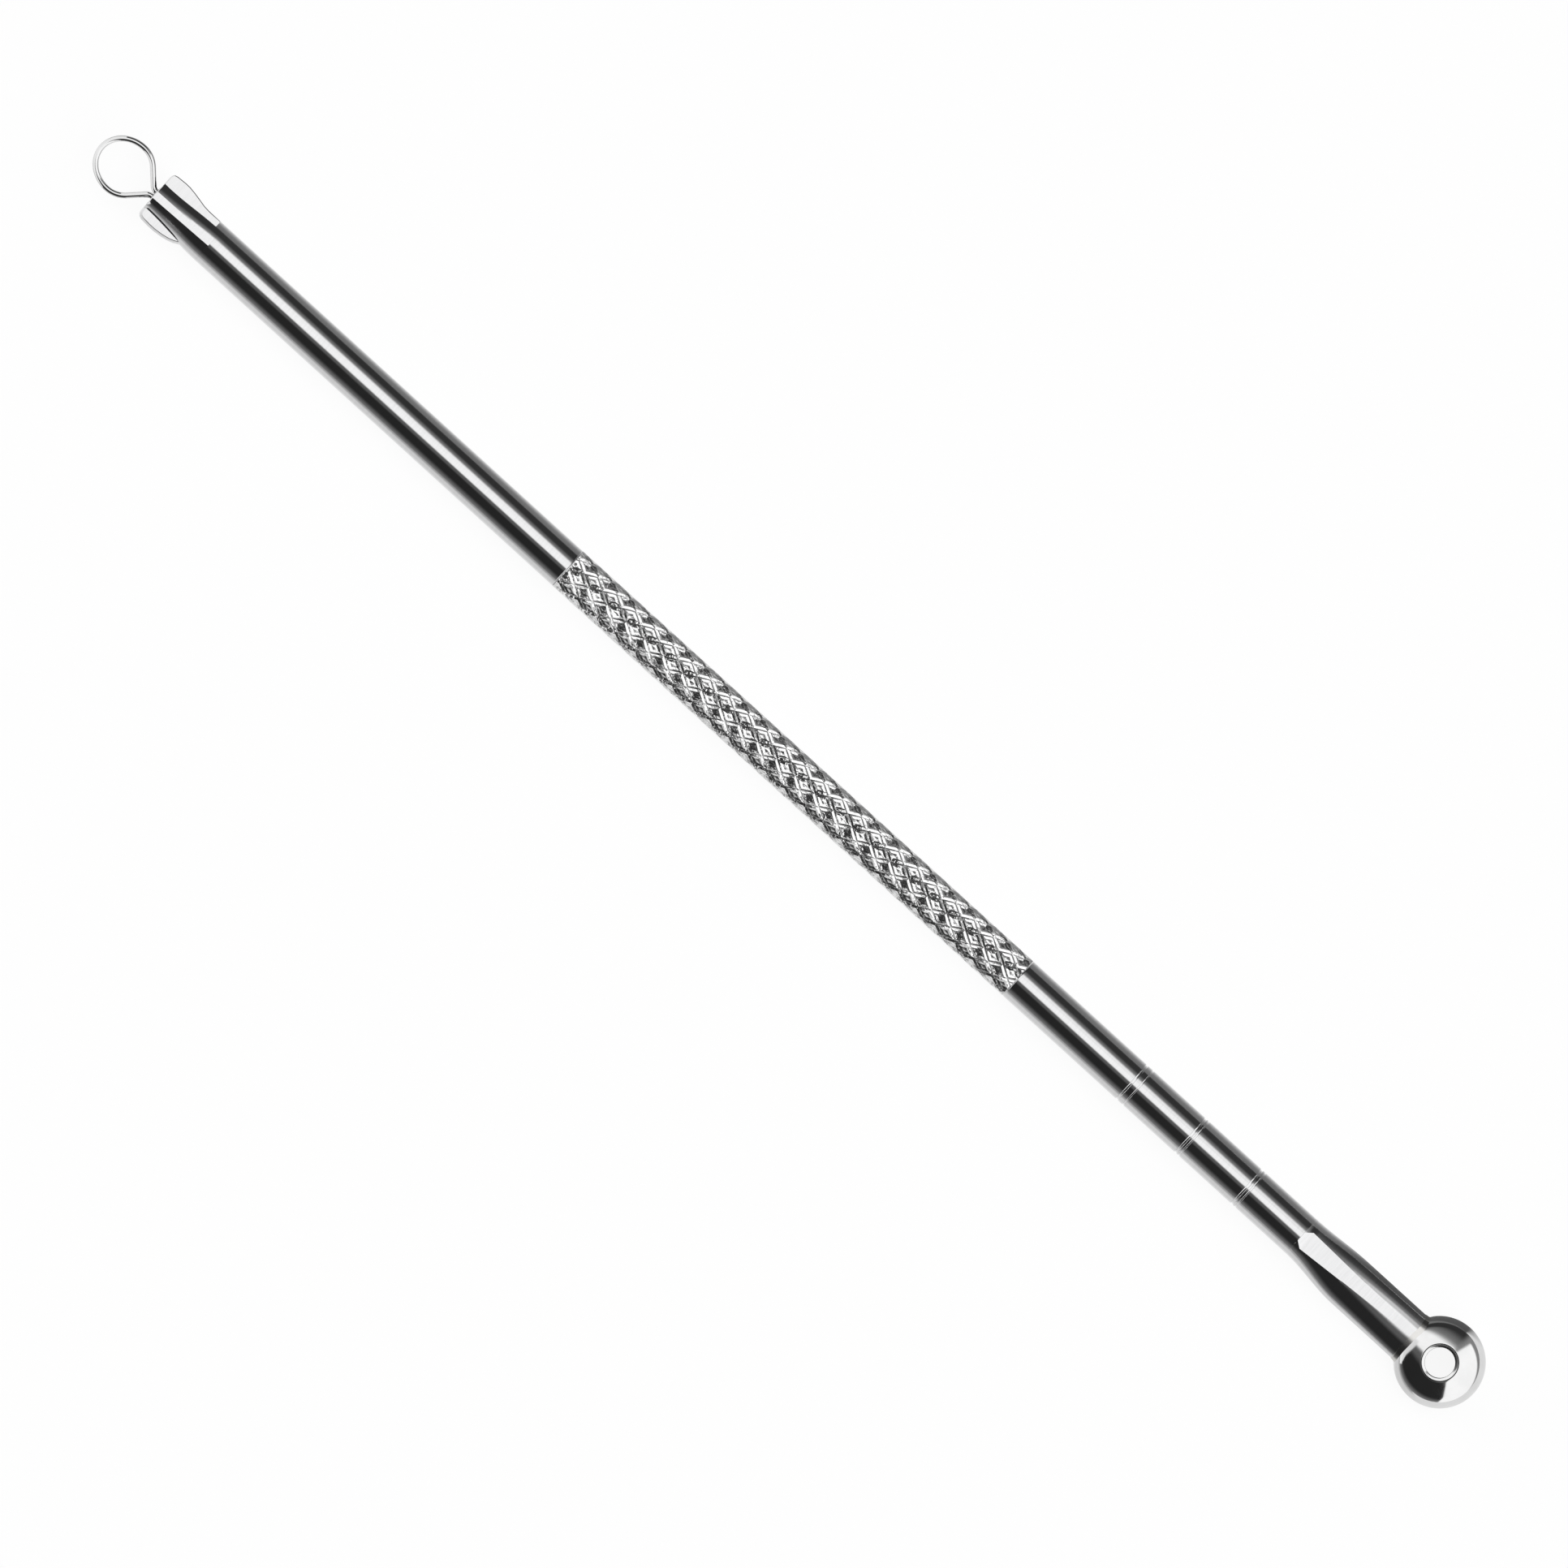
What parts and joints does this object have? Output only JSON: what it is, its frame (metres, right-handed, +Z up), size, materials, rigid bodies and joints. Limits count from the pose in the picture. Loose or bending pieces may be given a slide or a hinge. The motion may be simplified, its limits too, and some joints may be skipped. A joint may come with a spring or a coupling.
{
  "type": "blackhead extractor",
  "caption": "Slim steel skin-care tool: round bar with a diamond-knurled grip, a fine wire loop crimped in one end and a small domed cup with a hole on the other.",
  "frame": {"origin": "on the surface that the tool lies on, under the middle of its whole length and of its width", "axes": "+X along the bar from the wire loop to the cup, +Z up out of the dome of the cup, +Y across the tool"},
  "size_m": [0.1204, 0.006, 0.003],
  "materials": {
    "bar_steel": "mirror-polished stainless steel, satin knurl",
    "loop_wire": "bright drawn stainless spring wire",
    "solder": "dull grey solder",
    "cup_steel": "mirror-polished pressed stainless steel",
    "braze": "polished silver braze"
  },
  "bodies": {
    "root": {"handle_bar": "bar_steel", "wire_loop": "loop_wire", "loop_solder": "solder", "cup_head": "cup_steel", "cup_braze": "braze"}
  },
  "joints": []
}
